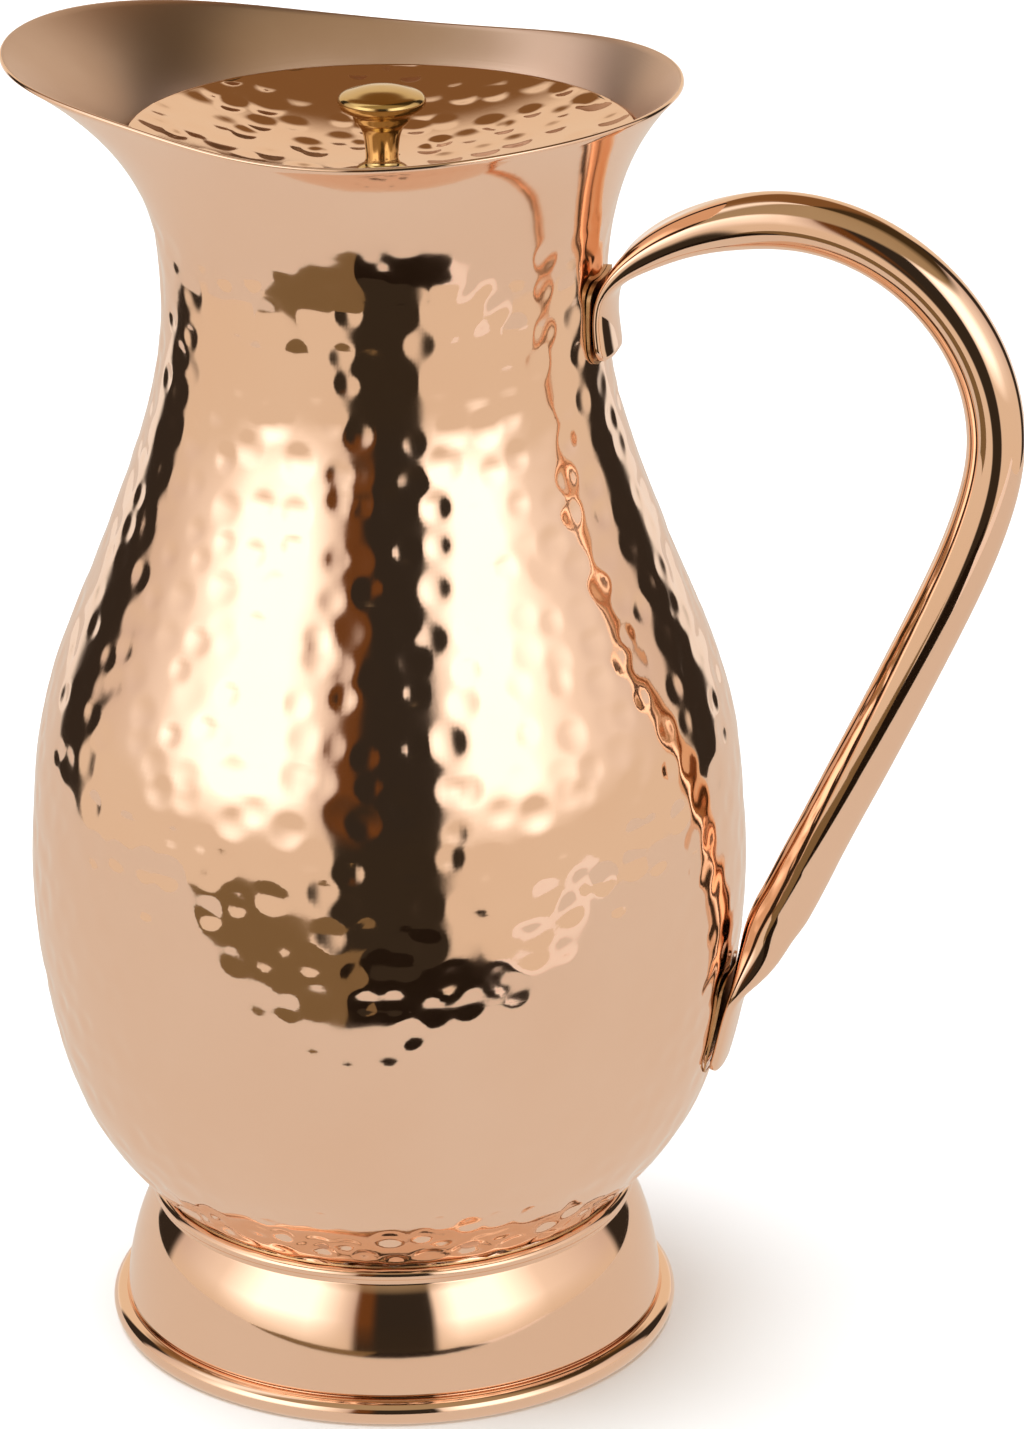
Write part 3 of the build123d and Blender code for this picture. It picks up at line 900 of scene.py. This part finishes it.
lid_angle = np.arange(LID_COLUMNS)[None, :] * 2 * np.pi / LID_COLUMNS
top_radius = np.linspace(1.2, LID_RADIUS - 0.4, 104)[:, None]
keep = smooth_step(LID_SEAT, LID_SEAT + 4.0, top_radius)
top_height = dish_height(top_radius) - lid_marks(top_radius, lid_angle) * keep
rim_turn = np.radians(np.linspace(60.0, -75.0, 6))[:, None]
rim_centre_z = LID_EDGE_HEIGHT - LID_SHEET / 2
rim_radius = LID_RADIUS - LID_SHEET / 2 + LID_SHEET / 2 * np.cos(rim_turn)
rim_z = rim_centre_z + LID_SHEET / 2 * np.sin(rim_turn)
under_radius = np.linspace(LID_RADIUS - 0.5, 1.2, 50)[:, None]
under_height = dish_height(under_radius) - LID_SHEET
lid_points = np.concatenate(
    [
        [[0.0, 0.0, LID_FLOOR]],
        ring_points(under_radius[::-1], under_height[::-1], lid_angle),
        ring_points(rim_radius[::-1], rim_z[::-1], lid_angle),
        ring_points(top_radius[::-1], top_height[::-1], lid_angle),
        [[0.0, 0.0, LID_FLOOR - LID_SHEET]],
    ]
)
lid_rows = len(under_radius) + len(rim_turn) + len(top_radius)
lid_last = 1 + (lid_rows - 1) * LID_COLUMNS
piece(
    "hammered_lid",
    lid_points,
    [
        (fan(lid_rows * LID_COLUMNS + 1, 1, LID_COLUMNS, False), hammered_copper, True),
        (rows_of_quads(1, lid_rows, LID_COLUMNS), hammered_copper, True),
        (fan(0, lid_last, LID_COLUMNS, True), hammered_copper, True),
    ],
    "lid",
    ["lid_pan"],
)

# ---- Knob ----------------------------------------------------------------------------------------
# Turned from brass rod: a low crown over a rounded brim, a small step, and a stem that narrows to
# a waist and spreads to a foot on the pan.
KNOB_TOP = 244.4
KNOB_COLUMNS = 96
knob_knots = np.array(
    [
        (4.8, LID_FLOOR + 0.1),
        (4.75, LID_FLOOR + 1.0),
        (3.5, LID_FLOOR + 1.9),
        (3.05, LID_FLOOR + 4.2),
        (3.3, KNOB_TOP - 9.8),
        (4.1, KNOB_TOP - 7.6),
        (5.2, KNOB_TOP - 6.1),
        (5.45, KNOB_TOP - 5.3),
        (6.4, KNOB_TOP - 4.75),
        (7.6, KNOB_TOP - 4.0),
        (8.1, KNOB_TOP - 2.9),
        (7.7, KNOB_TOP - 1.9),
        (6.2, KNOB_TOP - 1.15),
        (3.6, KNOB_TOP - 0.4),
        (0.6, KNOB_TOP),
    ]
)
knob_run = np.concatenate([[0.0], np.cumsum(np.hypot(*np.diff(knob_knots, axis=0).T))])
knob_along = np.linspace(0.0, knob_run[-1], 110)
knob_radius = spline_through(knob_run, knob_knots[:, 0])(knob_along)[:, None]
knob_height = spline_through(knob_run, knob_knots[:, 1])(knob_along)[:, None]
knob_angle = np.arange(KNOB_COLUMNS)[None, :] * 2 * np.pi / KNOB_COLUMNS
knob_points = np.concatenate(
    [
        [[0.0, 0.0, LID_FLOOR + 0.1]],
        ring_points(knob_radius, knob_height, knob_angle),
        [[0.0, 0.0, KNOB_TOP]],
    ]
)
knob_last = 1 + (len(knob_along) - 1) * KNOB_COLUMNS
# Brass as it leaves the lathe, lightly polished: yellower than the copper and a little softer in
# what it mirrors.
turned_brass = polished_metal("turned_brass", "#e0c48c", "#cfab6a", 0.13, 20.0, 1.2, 0.003)
piece(
    "brass_knob",
    knob_points,
    [
        (fan(0, 1, KNOB_COLUMNS, False), turned_brass, True),
        (rows_of_quads(1, len(knob_along), KNOB_COLUMNS), turned_brass, True),
        (fan(knob_last + KNOB_COLUMNS, knob_last, KNOB_COLUMNS, True), turned_brass, True),
    ],
    "lid",
    ["lid_knob"],
)

# ---- Screw, washer and brazing -------------------------------------------------------------------
# Small hidden pieces that keep their own shapes: a zinc-plated steel screw and a brass washer under
# the lid, and the brazing metal at the foot and the handle's tabs.
# Zinc-plated steel is a cold, dull grey with faint spangles. Brazing metal is a pale copper alloy
# left rough from the flame.
zinc_steel = polished_metal("zinc_plated_steel", "#c9cbce", "#aeb2b8", 0.28, 3.0, 0.4, 0.004)
brazing_metal = polished_metal("brazing_metal", "#d8b183", "#bf8f60", 0.3, 6.0, 0.6, 0.02)
for node_name, finish in (
    ("knob_screw", zinc_steel),
    ("knob_washer", turned_brass),
    ("foot_braze", brazing_metal),
    ("upper_handle_braze", brazing_metal),
    ("lower_handle_braze", brazing_metal),
):
    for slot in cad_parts[node_name].material_slots:
        slot.material = finish
